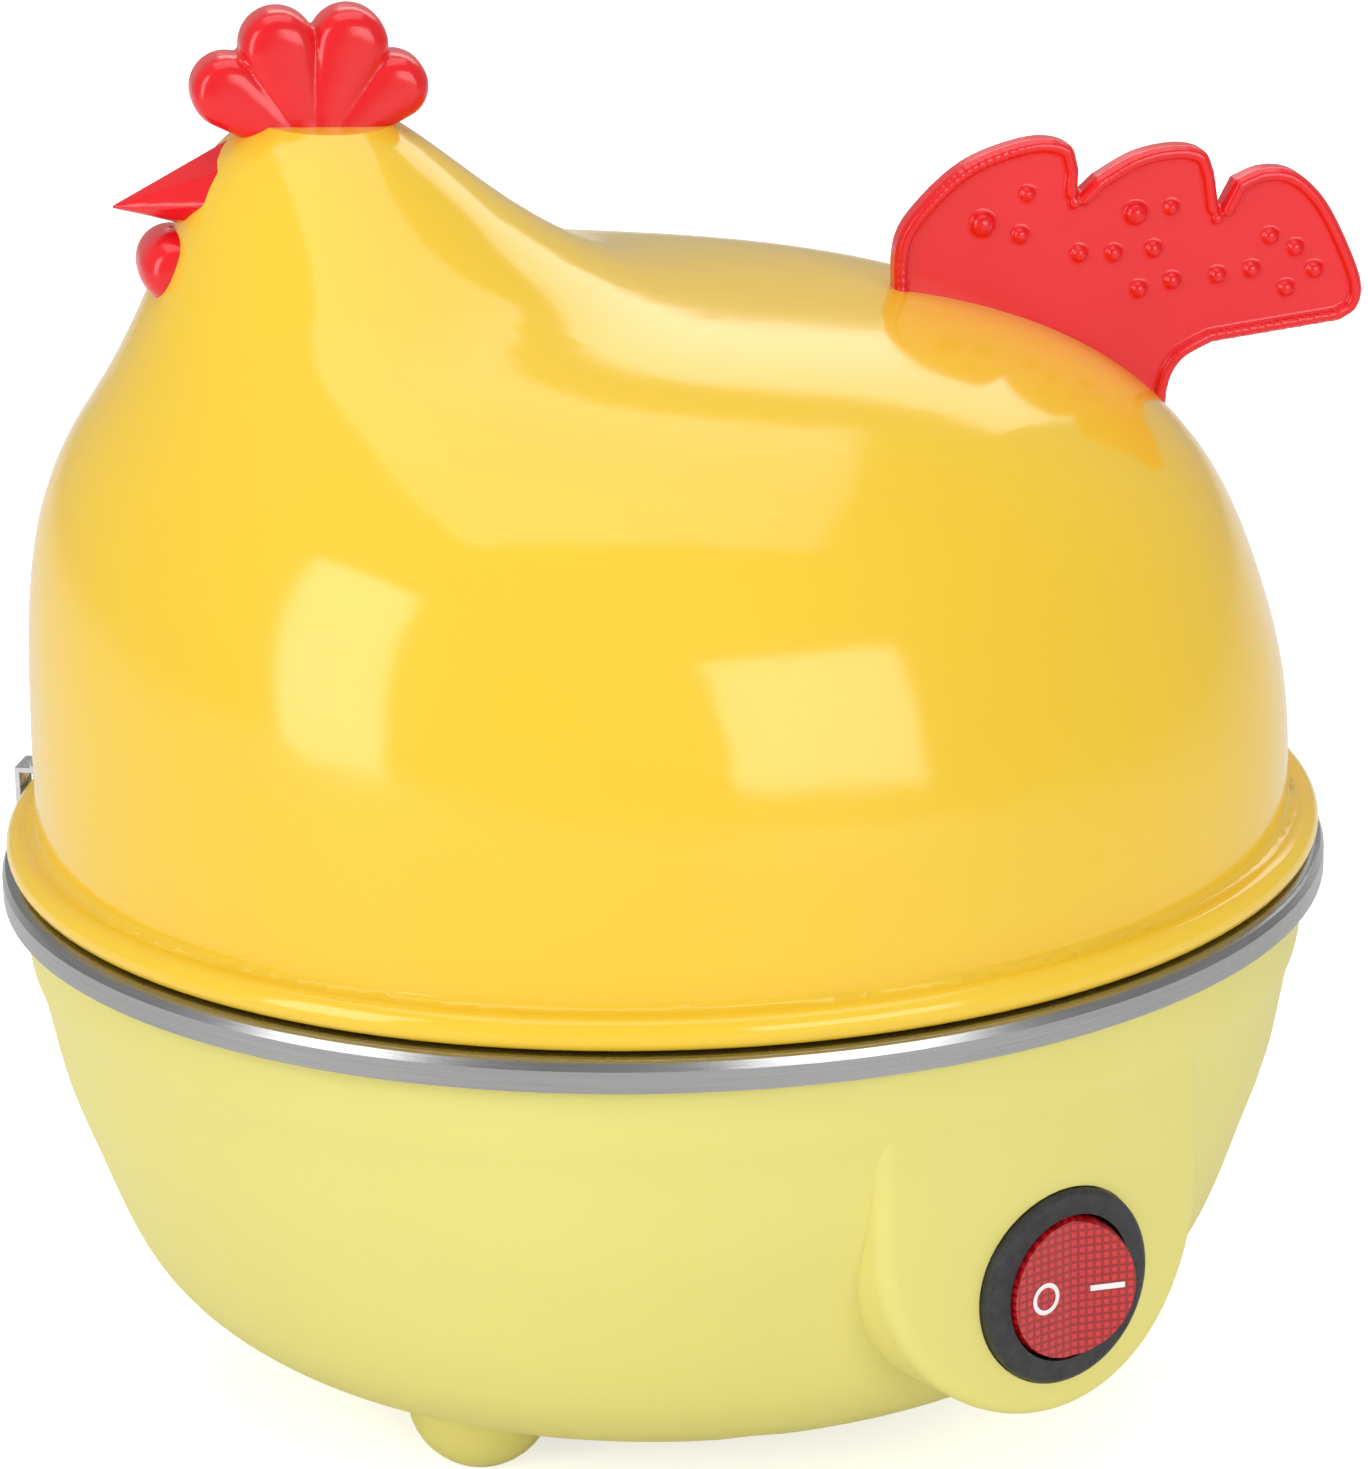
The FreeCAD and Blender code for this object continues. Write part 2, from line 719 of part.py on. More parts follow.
def spreader_low():
    return pan_floor - sheet - spreader_thick


def element_shape(radius):
    """C-shaped tubular heater with a pin hanging from each end."""
    circle = Part.makeCircle(element_circle, Vector(0, 0, spreader_low()), Z, element_gap, 360 - element_gap)
    start = circle.valueAt(circle.FirstParameter)
    tangent = circle.tangentAt(circle.FirstParameter)
    section = Part.Wire(Part.makeCircle(radius, start, tangent))
    return Part.Wire(circle).makePipeShell([section], True, False)


def element_ends():
    a = math.radians(element_gap)
    x = element_circle * math.cos(a)
    y = element_circle * math.sin(a)
    return [Vector(x, y, spreader_low()), Vector(x, -y, spreader_low())]


def heating_element():
    body = element_shape(element_radius)
    for end in element_ends():
        body = body.fuse(Part.makeSphere(element_radius, end))
        body = body.fuse(upright(element_pin, end.x, end.y, end.z - element_pin_drop, end.z))
    return body.common(upright(90, 0, 0, 0, pan_floor - sheet - 0.4)).removeSplitter()


def heat_spreader():
    plate = upright(spreader_radius, 0, 0, spreader_low(), pan_floor - sheet)
    plate = plate.cut(element_shape(element_radius + screw_fit))
    for end in element_ends():
        plate = plate.cut(Part.makeSphere(element_radius + screw_fit, end))
    for x, y in thermostat_holes() + [fuse_hole()]:
        plate = plate.cut(upright(small_screw, x, y, 0, pan_floor - sheet - 0.5))
    return plate


def thermostat_holes():
    return [(-12.9, 0.0), (12.9, 0.0)]


def fuse_hole():
    return (0.0, 22.0)


def thermostat():
    """Snap-disc thermostat against the middle of the spreader, with two blades."""
    high = spreader_low()
    body = upright(8.0, 0, 0, high - 3.0, high).fuse(upright(7.0, 0, 0, high - 11.0, high - 3.0))
    for side in (-1, 1):
        blade = Part.makeBox(6.3, 0.8, 9.0, Vector(-3.15, side * 4.0 - 0.4, high - 19.5))
        body = body.fuse(blade)
    return body


def thermostat_clip():
    """Ring under the thermostat's flange, with a leg and a screwed foot at each side."""
    high = spreader_low()
    clip = upright(10.1, 0, 0, high - 4.1, high - 3.1).cut(upright(7.0 + screw_fit, 0, 0, 0, high))
    for side in (-1, 1):
        leg = Part.makeBox(1.0, 7.0, 4.1, Vector(side * 9.6 - 0.5, -3.5, high - 4.1))
        foot = Part.makeBox(6.6, 7.0, 1.0, Vector(side * 12.8 - 3.3, -3.5, high - 1.0))
        clip = clip.fuse([leg, foot])
    for x, y in thermostat_holes():
        clip = clip.cut(upright(small_screw + screw_fit, x, y, 0, high))
    return clip.removeSplitter()


def thermostat_screws():
    seat = spreader_low() - 1.0
    return group([pan_head_screw(small_screw, 2.2, 3.8, Vector(x, y, seat), Z)
                  for x, y in thermostat_holes()])


def thermal_fuse():
    """One-shot fuse in a glass sleeve under its clip."""
    z = spreader_low() - 2.1
    sleeve = cylinder(2.0, Vector(-8, 17, z), Vector(8, 17, z))
    return sleeve.fuse(cylinder(0.5, Vector(-12, 17, z), Vector(12, 17, z)))


def fuse_clip():
    high = spreader_low()
    strip = Part.makeBox(6.0, 14.0, 1.0, Vector(-3.0, 12.4, high - 5.3))
    leg = Part.makeBox(6.0, 6.0, 5.2, Vector(-3.0, 19.4, high - 5.3))
    clip = strip.fuse(leg).fuse(Part.makeBox(6.0, 1.0, 3.0, Vector(-3.0, 12.4, high - 5.3)))
    return clip.cut(upright(small_screw + screw_fit, 0, fuse_hole()[1], 0, high)).removeSplitter()


def fuse_screw():
    x, y = fuse_hole()
    return pan_head_screw(small_screw, 2.2, 8.0, Vector(x, y, spreader_low() - 5.3), Z)


# ---------------------------------------------------------------- tray
def egg_places():
    ring = [polar(egg_circle, 360.0 / egg_count * i) for i in range(egg_count)]
    return [Vector(0, 0, 0)] + ring


def egg_tray():
    """Raised deck with seven egg holes on a rim that rests on the pan's shoulder."""
    t = tray_sheet
    seat = pan_shoulder + running_gap
    deck = revolve([
        (0, tray_deck - t), (tray_deck_radius - 1.0, tray_deck - t), (tray_rim_radius - 3.4, seat + 0.5),
        (tray_rim_radius - 3.0, seat), (tray_rim_radius, seat), (tray_rim_radius, seat + t),
        (tray_rim_radius - 2.4, seat + t), (tray_deck_radius + 0.4, tray_deck - 0.9),
        (tray_deck_radius - 0.5, tray_deck), (0, tray_deck)])
    for place in egg_places():
        deck = deck.cut(upright(egg_hole, place.x, place.y, 0, 90))
        roll = Part.makeTorus(egg_hole + 0.6, 1.0, Vector(place.x, place.y, tray_deck - t / 2.0))
        roll = roll.cut(upright(egg_hole, place.x, place.y, 0, 90))
        deck = deck.fuse(roll)
    for side in (-1, 1):
        lug = Part.makeBox(lug_sheet, lug_width, lug_height, Vector(-lug_sheet / 2, -lug_width / 2, 0))
        deck = deck.fuse(local(lug, lug_angle(side), lug_circle(), tray_deck - t))
    return deck.removeSplitter()


def lug_angle(side):
    return 30.0 if side > 0 else 210.0


def lug_circle():
    return tray_deck_radius - 2.6


def tray_grips():
    """Heat-proof caps on the tray's two lugs."""
    caps = []
    for side in (-1, 1):
        block = Part.makeBox(5.0, 20.0, 5.5, Vector(-2.5, -10.0, 0))
        block = block.makeFillet(1.2, [e for e in block.Edges if e.BoundBox.ZMax > 5.4])
        slot = Part.makeBox(lug_sheet, lug_width, 4.0, Vector(-lug_sheet / 2, -lug_width / 2, 0))
        height = tray_deck - tray_sheet + lug_height - 4.0
        caps.append(local(block.cut(slot), lug_angle(side), lug_circle(), height))
    return group(caps)


# ---------------------------------------------------------------- switch
def switch_body():
    """Round snap-in rocker switch housing, drawn with +X outward from the seat."""
    bezel = Part.makeCylinder(bezel_radius, bezel_thick, Vector(0, 0, 0), Vector(1, 0, 0))
    outer_edge = [e for e in bezel.Edges if e.BoundBox.XMin > bezel_thick - 0.01]
    bezel = bezel.makeFillet(1.0, outer_edge)
    body = bezel.fuse(Part.makeCylinder(housing_radius, housing_depth, Vector(-housing_depth, 0, 0),
                                        Vector(1, 0, 0)))
    bore = housing_radius - housing_wall
    body = body.cut(Part.makeCylinder(bore, housing_depth + 10, Vector(-housing_depth + 1.6, 0, 0),
                                      Vector(1, 0, 0)))
    pivot = bezel_thick - rocker_pivot_depth
    for side in (-1, 1):
        socket = Part.makeCylinder(pivot_radius + pin_fit, pivot_length + 0.2,
                                   Vector(pivot, 0, side * (rocker_ball - 0.3)), Vector(0, 0, side))
        body = body.cut(socket)
        snap = Part.makeBox(3.0, 5.0, 1.4, Vector(-bowl_wall - 4.0, -2.5, housing_radius - 0.5))
        if side < 0:
            snap.rotate(Vector(0, 0, 0), Vector(1, 0, 0), 180)
        body = body.fuse(snap)
    for y in (-4.0, 0.0, 4.0):
        body = body.cut(Part.makeBox(4.0, 1.0 + 0.02, 4.9, Vector(-housing_depth - 1, y - 0.51, -2.45)))
    return local(body.removeSplitter(), switch_angle, switch_seat(), switch_height)


def switch_blades():
    blades = []
    for y in (-4.0, 0.0, 4.0):
        blade = Part.makeBox(9.0, 0.8, 4.7, Vector(-housing_depth - 6.6, y - 0.4, -2.35))
        blades.append(local(blade, switch_angle, switch_seat(), switch_height))
    return group(blades)


def switch_lamp():
    """Neon indicator lamp behind the translucent rocker."""
    body = Part.makeCylinder(1.6, 4.0, Vector(-housing_depth + 1.6, 0, 5.6), Vector(1, 0, 0))
    body = body.fuse(Part.makeSphere(1.6, Vector(-housing_depth + 5.6, 0, 5.6)))
    return local(body, switch_angle, switch_seat(), switch_height)


def switch_rocker():
    """Rocker with its O half pressed in: a shallow V face on a ball-shaped button."""
    pivot = bezel_thick - rocker_pivot_depth
    face = bezel_thick + rocker_proud
    ball = Part.makeSphere(rocker_ball, Vector(pivot, 0, 0))
    reach = 12.0
    rise = reach * math.tan(math.radians(2 * rocker_half_angle))
    back = pivot - 3.2
    # outline in the level plane: x outward, y along the tangent (+y is the raised half)
    outline = [Vector(back, -reach, 0), Vector(face, -reach, 0), Vector(face, 0, 0),
               Vector(face + rise, reach, 0), Vector(back, reach, 0)]
    block = Part.Face(Part.makePolygon(outline + outline[:1])).extrude(Vector(0, 0, 24))
    block.translate(Vector(0, 0, -12))
    body = ball.common(block)
    for side in (-1, 1):
        stub = Part.makeCylinder(pivot_radius, rocker_ball - 5.0 + pivot_length - 0.2,
                                 Vector(pivot, 0, side * 5.0), Vector(0, 0, side))
        body = body.fuse(stub)
    leg = Part.makeBox(rocker_leg, 1.6, 5.0, Vector(back - rocker_leg + 0.5, -0.8, -2.5))
    return local(body.fuse(leg).removeSplitter(), switch_angle, switch_seat(), switch_height)


# ---------------------------------------------------------------- cord gland, terminals, wiring
def cord_gland():
    """Flanged bush for a supply cord of 7 mm or less."""
    away = outward(gland_angle)
    land = polar(gland_land, gland_angle, gland_height)
    flange = Part.makeCylinder(gland_flange, gland_flange_thick, land, away)
    rim = [e for e in flange.Edges if e.BoundBox.YMin > gland_land + gland_flange_thick - 0.01]
    flange = flange.makeFillet(1.0, rim)
    stem = Part.makeCylinder(gland_tube, gland_length,
                             polar(gland_land + 0.5 - gland_length, gland_angle, gland_height), away)
    bore = Part.makeCylinder(gland_bore, 40.0, polar(gland_land - 25.0, gland_angle, gland_height), away)
    return flange.fuse(stem).cut(bore).removeSplitter()


def gland_nut_face():
    """Distance from the axis of the boss face that the nut pulls against."""
    return gland_land - gland_boss_depth


def gland_nut():
    away = outward(gland_angle)
    low = polar(gland_nut_face() - gland_nut_thick, gland_angle, gland_height)
    corners = []
    for i in range(6):
        a = math.radians(60.0 * i)
        corners.append(low + Vector(9.0 * math.cos(a), 0, 9.0 * math.sin(a)))
    nut = Part.Face(Part.makePolygon(corners + corners[:1])).extrude(away * gland_nut_thick)
    return nut.cut(Part.makeCylinder(gland_tube, 20.0, low - away * 5.0, away))


def block_base():
    return bowl_floor + 9.0


def block_centre():
    return polar(42.0, gland_angle)


def terminal_block():
    """Three-way screw terminal block on a pad of the bowl."""
    block = Part.makeBox(block_depth, block_length, block_height,
                         Vector(-block_depth / 2, -block_length / 2, 0))
    for y in block_ways:
        start = Vector(-block_depth / 2 - 1, y, block_way_height)
        block = block.cut(Part.makeCylinder(1.6, block_depth + 2, start, Vector(1, 0, 0)))
        block = block.cut(upright(1.5, 0, y, block_way_height, block_height + 1))
    block = block.cut(upright(small_screw + screw_fit, 0, block_screw_place, -1, block_height + 1))
    return local(block, gland_angle, block_centre().Length, block_base())


def terminal_screws():
    screws = []
    for y in block_ways:
        screws.append(local(upright(1.4, 0, y, block_way_height + 1.8, block_height - 0.5), gland_angle,
                            block_centre().Length, block_base()))
    return group(screws)


def block_screw():
    seat = Vector(0, block_screw_place, block_height)
    screw = pan_head_screw(small_screw, 2.5, block_height + block_screw_bite, seat, Vector(0, 0, -1))
    return local(screw, gland_angle, block_centre().Length, block_base())


def earth_tag():
    """Earth tag welded under the pan floor near the terminal block."""
    high = pan_floor - sheet
    plate = Part.makeBox(12.0, 7.0, 1.0, Vector(-6.0, -3.5, high - 1.0))
    blade = Part.makeBox(0.8, 6.3, 9.0, Vector(-6.0, -3.15, high - 9.0))
    return local(plate.fuse(blade), 150.0, 56.0)


def leads():
    """Internal wires between terminal block, switch, thermostat, fuse, heater and pan."""
    blade_r = switch_seat() - housing_depth - 6.6 - 0.3
    fork = polar(blade_r, switch_angle, switch_height)
    side = Vector(-outward(switch_angle).y, outward(switch_angle).x, 0)
    live = fork - side * 4.0
    fed = fork + side * 4.0
    low = spreader_low()
    ends = element_ends()
    blade_low = low - 19.5 - 0.3
    pin_low = low - element_pin_drop - 0.3
    inner = block_centre().y - block_depth / 2.0 - 0.3
    mouth = block_base() + block_way_height
    left, middle, right = [-way for way in block_ways][::-1]
    fuse_z = low - 2.1
    tag = polar(56.0, 150.0, pan_floor - sheet - 9.3) - outward(150.0) * 5.6
    return {
        "lead_live": [
            (left, inner, mouth), (-10, 28, mouth), (-18, 12, 20), (-20, -12, 21), (-2, -27, 27),
            (live.x - 8, live.y + 12, switch_height - 2), (live.x, live.y, live.z)],
        "lead_switched": [
            (fed.x, fed.y, fed.z), (fed.x - 7, fed.y + 11, switch_height - 6), (16, -16, 17),
            (2, -10, 14), (0, -4, blade_low - 5), (0, -4, blade_low)],
        "lead_thermostat": [
            (0, 4, blade_low), (0, 4.6, blade_low - 5), (-10, 12, blade_low - 4), (-19, 17, 28),
            (-18, 17, fuse_z - 2), (-12.3, 17, fuse_z)],
        "lead_fuse": [
            (12.3, 17, fuse_z), (17, 17, fuse_z - 2), (22, 18, pin_low - 4),
            (ends[0].x - 0.5, ends[0].y - 1, pin_low - 8),
            (ends[0].x, ends[0].y, pin_low)],
        "lead_neutral": [
            (right, inner, mouth), (10, 28, mouth), (16, 14, 16), (24, -4, 20),
            (ends[1].x - 1, ends[1].y + 2, 28),
            (ends[1].x, ends[1].y, pin_low)],
        "lead_earth": [
            (middle, inner, mouth), (2, 27, mouth + 2), (16, 30, 30), (tag.x - 1, tag.y - 3, tag.z - 6),
            (tag.x, tag.y, tag.z)],
    }


# ---------------------------------------------------------------- hinge
def leaf_blank(radius, half_angle, low, high):
    """Bar along the hinge direction with rounded corners, to cut a leaf out of a curved skin."""
    half = math.radians(half_angle) * radius
    blank = Part.makeBox(20.0, 2 * half, high - low, Vector(radius - 10, -half, low))
    corners = [e for e in blank.Edges if e.BoundBox.XLength > 10]
    return local(blank.makeFillet((high - low) * 0.3, corners), hinge_angle)


def knuckle(start, length):
    """Rolled knuckle and its bore on the pin line, drawn with +X outward, +Y along the pin."""
    barrel = Part.makeCylinder(knuckle_radius, length, Vector(0, start, 0), Vector(0, 1, 0))
    bore = Part.makeCylinder(hinge_pin_radius + pin_fit, length + 2,
                             Vector(0, start - 1, 0), Vector(0, 1, 0))
    return barrel, bore


def at_hinge(shape):
    return local(shape, hinge_angle, hinge_radius, hinge_height)


def lid_hinge_leaf():
    """Leaf riveted to the lid wall; its strap passes over the flange, outside the rim, to the pin."""
    low = flange_top + 0.3
    inside = lid_radius + leaf_gap
    leaf = upright(inside + leaf_sheet, 0, 0, low, 90).cut(upright(inside, 0, 0, 0, 90))
    leaf = leaf.common(leaf_blank(lid_radius, lid_leaf_half, rivet_height - lid_leaf_height / 2.0,
                                  rivet_height + lid_leaf_height / 2.0))
    width = knuckle_length
    strap_in = ring_radius + running_gap
    riser = Part.makeBox(leaf_sheet, width, rivet_height - low, Vector(inside, -width / 2, low))
    over = Part.makeBox(strap_in + leaf_sheet - lid_radius - 0.4, width, leaf_sheet,
                        Vector(lid_radius + 0.4, -width / 2, low))
    drop = Part.makeBox(leaf_sheet, width, low + leaf_sheet - hinge_height,
                        Vector(strap_in, -width / 2, hinge_height))
    web = Part.makeBox(strap_in + leaf_sheet - hinge_radius, width, leaf_sheet,
                       Vector(hinge_radius, -width / 2, hinge_height + knuckle_radius - leaf_sheet))
    strap = local(riser.fuse([over, drop, web]), hinge_angle)
    barrel, bore = knuckle(-width / 2, width)
    leaf = leaf.fuse([strap, at_hinge(barrel)]).cut(at_hinge(bore)).cut(lid_flange())
    leaf = leaf.cut(upright(inside, 0, 0, 0, 90))
    for side in (-1, 1):
        angle = hinge_angle + side * rivet_angle
        leaf = leaf.cut(cylinder(rivet_radius + screw_fit, polar(lid_radius - 3, angle, rivet_height),
                                 polar(lid_radius + 3, angle, rivet_height)))
    return leaf.removeSplitter()


def base_hinge_leaf():
    """Leaf screwed to the bowl, with the two outer knuckles."""
    skirt = bowl_solid(-leaf_sheet).cut(bowl_solid(0.0))
    high = hinge_height + knuckle_radius
    leaf = skirt.common(leaf_blank(bowl_radius, base_leaf_half, base_leaf_low, high))
    bores = []
    for side in (-1, 1):
        inner = knuckle_length / 2 + running_gap
        start = inner if side > 0 else -inner - outer_knuckle
        barrel, bore = knuckle(start, outer_knuckle)
        arm = Part.makeBox(hinge_radius - bowl_radius, outer_knuckle, leaf_sheet,
                           Vector(bowl_radius - hinge_radius, start, knuckle_radius - leaf_sheet))
        leaf = leaf.fuse([at_hinge(barrel), at_hinge(arm).cut(bowl_solid(0.0))])
        bores.append(at_hinge(bore))
    for bore in bores:
        leaf = leaf.cut(bore)
    for start, away in base_leaf_screw_places():
        leaf = leaf.cut(Part.makeCylinder(small_screw + screw_fit, 6.0, start - away * 3.0, away))
    return leaf.removeSplitter()


def base_hinge_screws():
    return group([pan_head_screw(small_screw, 2.2, 4.0, start, away * -1)
                  for start, away in base_leaf_screw_places()])


def hinge_pin():
    half = knuckle_length / 2 + running_gap + outer_knuckle
    pin = Part.makeCylinder(hinge_pin_radius, 2 * half, Vector(0, -half, 0), Vector(0, 1, 0))
    head = Part.makeCylinder(1.1, 0.6, Vector(0, -half - 0.6, 0), Vector(0, 1, 0))
    return at_hinge(pin.fuse(head))


def lid_hinge_rivets():
    rivets = []
    for side in (-1, 1):
        angle = hinge_angle + side * rivet_angle
        away = outward(angle)
        face = polar(lid_radius + leaf_gap + leaf_sheet, angle, rivet_height)
        grip = lid_wall + 2 * leaf_gap + leaf_sheet
        shank = Part.makeCylinder(rivet_radius, grip, face, away * -1)
        dome = Part.makeSphere(rivet_head, face).cut(Part.makeCylinder(4.0, 8.0, face, away * -1))
        inner_head = Part.makeCylinder(rivet_head, 0.8, face - away * grip, away * -1)
        rivets.append(shank.fuse([dome, inner_head]))
    return group(rivets)


# ---------------------------------------------------------------- build
def build():
    os.makedirs("parts", exist_ok=True)
    outside = lid_outside()
    hollow = lid_hollow()
    bosses, seats = trim_bosses(outside, hollow)
    comb_set, tail_set, beak_set = trim_screws(seats)
    save("lid_shell", lid_shell(outside, hollow, bosses, seats))
    save("comb", drilled(comb(outside), [(s, Z) for s in seats[:2]]))
    save("tail", drilled(tail(outside), [(s, Z) for s in seats[2:4]]))
    save("beak", drilled(beak(outside), [(seats[4], Vector(-1, 0, 0))]))
    save("comb_screws", group(comb_set))
    save("tail_screws", group(tail_set))
    save("beak_screw", beak_set)
    save("lid_hinge_leaf", lid_hinge_leaf())
    save("lid_hinge_rivets", lid_hinge_rivets())

    save("base_bowl", base_bowl())
    save("base_cover", base_cover())
    save("cover_screws", cover_screws())
    save("heating_pan", heating_pan())
    save("pan_standoffs", standoffs())
    save("pan_screws", pan_screws())
    save("heat_spreader", heat_spreader())
    save("heating_element", heating_element())
    save("thermostat", thermostat())
    save("thermostat_clip", thermostat_clip())
    save("thermostat_screws", thermostat_screws())
    save("thermal_fuse", thermal_fuse())
    save("fuse_clip", fuse_clip())
    save("fuse_screw", fuse_screw())
    save("egg_tray", egg_tray())
    save("tray_grips", tray_grips())
    save("switch_body", switch_body())
    save("switch_blades", switch_blades())
    save("switch_lamp", switch_lamp())
    save("switch_rocker", switch_rocker())
    save("cord_gland", cord_gland())
    save("gland_nut", gland_nut())
    save("terminal_block", terminal_block())
    save("terminal_screws", terminal_screws())
    save("block_screw", block_screw())
    save("earth_tag", earth_tag())
    for name, points in leads().items():
        save(name, tube(points, lead_radius))
    save("base_hinge_leaf", base_hinge_leaf())
    save("base_hinge_screws", base_hinge_screws())
    save("hinge_pin", hinge_pin())


build()
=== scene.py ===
import bpy
import bmesh
import json
import math
from mathutils import Matrix, Vector, noise
from mathutils.bvhtree import BVHTree


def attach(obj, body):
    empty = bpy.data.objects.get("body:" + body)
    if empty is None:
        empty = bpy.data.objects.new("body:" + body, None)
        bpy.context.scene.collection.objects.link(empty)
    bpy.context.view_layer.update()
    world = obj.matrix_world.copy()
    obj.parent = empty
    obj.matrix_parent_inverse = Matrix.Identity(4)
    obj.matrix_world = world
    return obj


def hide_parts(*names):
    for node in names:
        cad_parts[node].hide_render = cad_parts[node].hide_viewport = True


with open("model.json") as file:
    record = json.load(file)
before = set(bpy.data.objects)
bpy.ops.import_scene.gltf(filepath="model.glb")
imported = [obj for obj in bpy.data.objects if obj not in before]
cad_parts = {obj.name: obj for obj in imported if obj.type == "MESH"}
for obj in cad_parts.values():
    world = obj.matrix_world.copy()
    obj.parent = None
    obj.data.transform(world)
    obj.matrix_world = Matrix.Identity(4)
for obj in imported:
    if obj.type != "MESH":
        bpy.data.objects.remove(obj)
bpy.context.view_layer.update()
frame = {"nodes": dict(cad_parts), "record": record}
nodes = frame["nodes"]

MM = 0.001
SHIFT = -3.4                    # the hen's upright axis, in mm along X of the frame


def at(x, y, z):
    """A point given in mm from the hen's upright axis, in the frame's metres."""
    return Vector(((x + SHIFT) * MM, y * MM, z * MM))


def polar(radius, angle, z=0.0):
    """A point by radius and angle from the front, towards +X, in mm and degrees."""
    a = math.radians(angle)
    return at(radius * math.sin(a), -radius * math.cos(a), z)


# ---------------------------------------------------------------- materials
class Material:
    """A small helper round one node tree."""

    def __init__(self, name, colour, rough, metal=0.0):
        self.item = bpy.data.materials.new(name)
        self.item.use_nodes = True
        self.tree = self.item.node_tree
        self.shader = self.tree.nodes["Principled BSDF"]
        self.colour = colour
        self.set("Base Color", (*colour, 1.0))
        self.set("Roughness", rough)
        self.set("Metallic", metal)
        self.item.diffuse_color = (*colour, 1.0)
        self.place = self.tree.nodes.new("ShaderNodeTexCoord")
        self.height = None

    def set(self, socket, value):
        self.shader.inputs[socket].default_value = value

    def node(self, kind, **values):
        made = self.tree.nodes.new(kind)
        for key, value in values.items():
            setattr(made, key, value)
        return made

    def link(self, a, b):
        self.tree.links.new(a, b)

    def scaled(self, scale):
        """Object coordinates in metres, times a scale for each axis."""
        mapping = self.node("ShaderNodeMapping")
        mapping.inputs["Scale"].default_value = scale
        self.link(self.place.outputs["Object"], mapping.inputs["Vector"])
        return mapping.outputs["Vector"]

    def noise(self, scale, detail=3.0, rough=0.5):
        made = self.node("ShaderNodeTexNoise")
        made.inputs["Scale"].default_value = 1.0
        made.inputs["Detail"].default_value = detail
        made.inputs["Roughness"].default_value = rough
        self.link(self.scaled(scale), made.inputs["Vector"])
        return made.outputs["Fac"]

    def mottle(self, other, scale, low=0.35, high=0.65):
        """Base colour drifts between two close shades."""
        ramp = self.node("ShaderNodeValToRGB")
        ramp.color_ramp.elements[0].position = low
        ramp.color_ramp.elements[0].color = (*self.colour, 1.0)
        ramp.color_ramp.elements[1].position = high
        ramp.color_ramp.elements[1].color = (*other, 1.0)
        self.link(self.noise(scale), ramp.inputs["Fac"])
        self.link(ramp.outputs["Color"], self.shader.inputs["Base Color"])

    def vary_rough(self, scale, low, high):
        span = self.node("ShaderNodeMapRange")
        span.inputs["To Min"].default_value = low
        span.inputs["To Max"].default_value = high
        self.link(self.noise(scale, 5.0), span.inputs["Value"])
        self.link(span.outputs["Result"], self.shader.inputs["Roughness"])

    def bump(self, source, strength, distance):
        made = self.node("ShaderNodeBump")
        made.inputs["Strength"].default_value = strength
        made.inputs["Distance"].default_value = distance
        self.link(source, made.inputs["Height"])
        if self.height is not None:
            self.link(self.height, made.inputs["Normal"])
        self.height = made.outputs["Normal"]
        self.link(self.height, self.shader.inputs["Normal"])


def even(scale):
    return (scale, scale, scale)


def lid_plastic():
    m = Material("lid_plastic", (0.92, 0.60, 0.035), 0.13)
    m.mottle((0.94, 0.62, 0.045), even(14.0))
    m.bump(m.noise(even(45.0), 2.0), 0.05, 0.0015)
    return m.item


def bowl_plastic():
    m = Material("bowl_plastic", (0.79, 0.72, 0.20), 0.42)
    m.mottle((0.81, 0.74, 0.215), even(20.0))
    m.vary_rough(even(60.0), 0.38, 0.47)
    m.bump(m.noise(even(2600.0), 2.0), 0.06, 0.0002)
    return m.item


def red_plastic():
    m = Material("red_plastic", (0.80, 0.010, 0.016), 0.2)
    m.mottle((0.86, 0.012, 0.020), even(30.0))
    m.bump(m.noise(even(120.0), 2.0), 0.08, 0.0006)
    return m.item


def brushed_steel(name, colour, rough, lines=(60.0, 60.0, 5200.0)):
    """Sheet metal with fine lines that run round the part."""
    m = Material(name, colour, rough, 1.0)
    m.mottle(tuple(0.86 * c for c in colour), lines, 0.3, 0.7)
    m.vary_rough((90.0, 90.0, 3000.0), rough * 0.8, rough * 1.35)
    m.bump(m.noise(lines, 4.0), 0.10, 0.0002)
    return m.item


def cast_metal(name, colour, rough):
    m = Material(name, colour, rough, 1.0)
    m.mottle(tuple(0.8 * c for c in colour), even(220.0))
    m.vary_rough(even(150.0), rough * 0.8, rough * 1.3)
    m.bump(m.noise(even(900.0), 3.0), 0.12, 0.0004)
    return m.item


def moulded(name, colour, rough, grain=1800.0, strength=0.15):
    m = Material(name, colour, rough)
    m.mottle(tuple(min(1.0, 1.12 * c + 0.004) for c in colour), even(90.0))
    m.vary_rough(even(120.0), rough * 0.85, min(1.0, rough * 1.15))
    m.bump(m.noise(even(grain), 3.0), strength, 0.0003)
    return m.item


def grained_black():
    """Switch housing with a spark-eroded grain."""
    m = Material("switch_black", (0.016, 0.017, 0.02), 0.42)
    m.mottle((0.03, 0.031, 0.035), even(700.0))
    m.vary_rough(even(1200.0), 0.3, 0.55)
    m.bump(m.noise(even(1500.0), 4.0, 0.7), 0.55, 0.0005)
    return m.item


